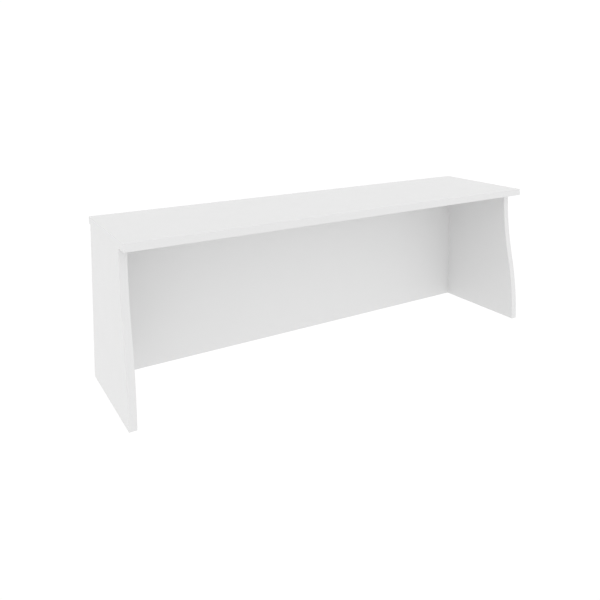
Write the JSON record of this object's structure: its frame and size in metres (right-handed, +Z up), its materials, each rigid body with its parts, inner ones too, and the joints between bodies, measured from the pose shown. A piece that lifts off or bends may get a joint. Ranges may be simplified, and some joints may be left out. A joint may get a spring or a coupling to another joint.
{
  "type": "checkout counter",
  "caption": "Long white panel counter unit: a flat top board on side panels with S-curved front edges, closed by a rear panel and open in front, for standing on a desk or counter",
  "frame": {"origin": "on the standing surface, under the centre of the top board", "axes": "+X along the counter, to the right of someone who faces its open front; +Y to the rear, towards the back panel; +Z up"},
  "size_m": [1.2, 0.3, 0.4],
  "materials": {
    "laminate": "white melamine-faced chipboard, fine satin texture",
    "edge_band": "white ABS edge band, satin",
    "cap_plastic": "white moulded plastic, satin",
    "cam_zinc": "die-cast zinc, dull",
    "bolt_steel": "zinc-plated steel",
    "dowel_beech": "bare fluted beech"
  },
  "bodies": {
    "carcass": {"top_board": "laminate", "left_side_board": "laminate", "right_side_board": "laminate", "back_board": "laminate", "top_front_band": "edge_band", "top_rear_band": "edge_band", "top_left_band": "edge_band", "top_right_band": "edge_band", "left_side_front_band": "edge_band", "left_side_rear_band": "edge_band", "left_side_foot_band": "edge_band", "right_side_front_band": "edge_band", "right_side_rear_band": "edge_band", "right_side_foot_band": "edge_band", "back_foot_band": "edge_band", "cam_bolt_top_left_front": "bolt_steel", "cam_bolt_top_left_rear": "bolt_steel", "cam_bolt_back_left_lower": "bolt_steel", "cam_bolt_back_left_upper": "bolt_steel", "cam_bolt_top_right_front": "bolt_steel", "cam_bolt_top_right_rear": "bolt_steel", "cam_bolt_back_right_lower": "bolt_steel", "cam_bolt_back_right_upper": "bolt_steel", "dowel_top_left_front": "dowel_beech", "dowel_top_left_rear": "dowel_beech", "dowel_back_left_lower": "dowel_beech", "dowel_back_left_upper": "dowel_beech", "dowel_top_right_front": "dowel_beech", "dowel_top_right_rear": "dowel_beech", "dowel_back_right_lower": "dowel_beech", "dowel_back_right_upper": "dowel_beech", "dowel_top_back_left": "dowel_beech", "dowel_top_back_centre": "dowel_beech", "dowel_top_back_right": "dowel_beech"},
    "lock_top_left_front": {"cam_top_left_front": "cam_zinc", "cam_cap_top_left_front": "cap_plastic"},
    "lock_top_left_rear": {"cam_top_left_rear": "cam_zinc", "cam_cap_top_left_rear": "cap_plastic"},
    "lock_back_left_lower": {"cam_back_left_lower": "cam_zinc", "cam_cap_back_left_lower": "cap_plastic"},
    "lock_back_left_upper": {"cam_back_left_upper": "cam_zinc", "cam_cap_back_left_upper": "cap_plastic"},
    "lock_top_right_front": {"cam_top_right_front": "cam_zinc", "cam_cap_top_right_front": "cap_plastic"},
    "lock_top_right_rear": {"cam_top_right_rear": "cam_zinc", "cam_cap_top_right_rear": "cap_plastic"},
    "lock_back_right_lower": {"cam_back_right_lower": "cam_zinc", "cam_cap_back_right_lower": "cap_plastic"},
    "lock_back_right_upper": {"cam_back_right_upper": "cam_zinc", "cam_cap_back_right_upper": "cap_plastic"}
  },
  "joints": [
    {"name": "turn_top_left_front", "type": "hinge", "parent": "carcass", "child": "lock_top_left_front", "pos_m": [-0.59, -0.03, 0.3577], "axis": [1, 0, 0], "range_deg": [0, 180]},
    {"name": "turn_top_left_rear", "type": "hinge", "parent": "carcass", "child": "lock_top_left_rear", "pos_m": [-0.59, 0.09, 0.3577], "axis": [1, 0, 0], "range_deg": [0, 180]},
    {"name": "turn_back_left_lower", "type": "hinge", "parent": "carcass", "child": "lock_back_left_lower", "pos_m": [-0.5567, 0.131, 0.06], "axis": [0, 1, 0], "range_deg": [0, 180]},
    {"name": "turn_back_left_upper", "type": "hinge", "parent": "carcass", "child": "lock_back_left_upper", "pos_m": [-0.5567, 0.131, 0.32], "axis": [0, 1, 0], "range_deg": [0, 180]},
    {"name": "turn_top_right_front", "type": "hinge", "parent": "carcass", "child": "lock_top_right_front", "pos_m": [0.59, -0.03, 0.3577], "axis": [-1, 0, 0], "range_deg": [0, 180]},
    {"name": "turn_top_right_rear", "type": "hinge", "parent": "carcass", "child": "lock_top_right_rear", "pos_m": [0.59, 0.09, 0.3577], "axis": [-1, 0, 0], "range_deg": [0, 180]},
    {"name": "turn_back_right_lower", "type": "hinge", "parent": "carcass", "child": "lock_back_right_lower", "pos_m": [0.5567, 0.131, 0.06], "axis": [0, 1, 0], "range_deg": [0, 180]},
    {"name": "turn_back_right_upper", "type": "hinge", "parent": "carcass", "child": "lock_back_right_upper", "pos_m": [0.5567, 0.131, 0.32], "axis": [0, 1, 0], "range_deg": [0, 180]}
  ]
}
